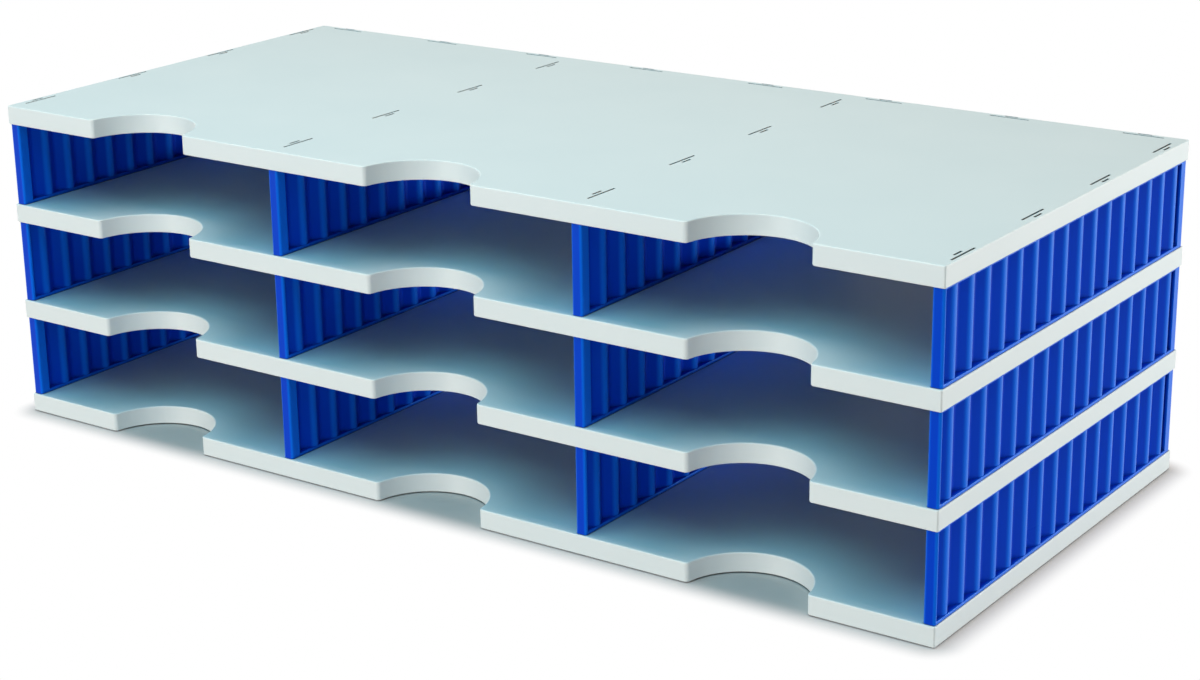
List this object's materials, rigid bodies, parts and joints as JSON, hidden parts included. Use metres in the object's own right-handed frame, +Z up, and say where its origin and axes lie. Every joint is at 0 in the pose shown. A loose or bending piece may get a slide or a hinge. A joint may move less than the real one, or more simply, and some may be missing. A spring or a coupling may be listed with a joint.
{
  "type": "document organizer",
  "caption": "Low wide sorting station of pale grey shelves plugged together with blue corrugated upright walls, with open A4 compartments and finger scoops in the front edges.",
  "frame": {"origin": "middle of the plan, on the underside of the bottom shelf", "axes": "+X to the right along the front, +Y from the front to the back, +Z up"},
  "size_m": [0.723, 0.331, 0.223],
  "materials": {
    "grey_shelf": "satin",
    "blue_wall": "satin gloss"
  },
  "bodies": {
    "bottom_tier": {"bottom_shelf": "grey_shelf", "bottom_row_left_wall": "blue_wall", "bottom_row_left_divider": "blue_wall", "bottom_row_right_divider": "blue_wall", "bottom_row_right_wall": "blue_wall"},
    "middle_tier": {"second_shelf": "grey_shelf", "middle_row_left_wall": "blue_wall", "middle_row_left_divider": "blue_wall", "middle_row_right_divider": "blue_wall", "middle_row_right_wall": "blue_wall"},
    "top_tier": {"third_shelf": "grey_shelf", "top_row_left_wall": "blue_wall", "top_row_left_divider": "blue_wall", "top_row_right_divider": "blue_wall", "top_row_right_wall": "blue_wall"},
    "top_deck": {"top_shelf": "grey_shelf"}
  },
  "joints": [
    {"name": "middle_tier_lift", "type": "slide", "parent": "bottom_tier", "child": "middle_tier", "axis": [0, 0, 1], "range_m": [0, 0.06]},
    {"name": "top_tier_lift", "type": "slide", "parent": "middle_tier", "child": "top_tier", "axis": [0, 0, 1], "range_m": [0, 0.06]},
    {"name": "top_deck_lift", "type": "slide", "parent": "top_tier", "child": "top_deck", "axis": [0, 0, 1], "range_m": [0, 0.06]}
  ]
}
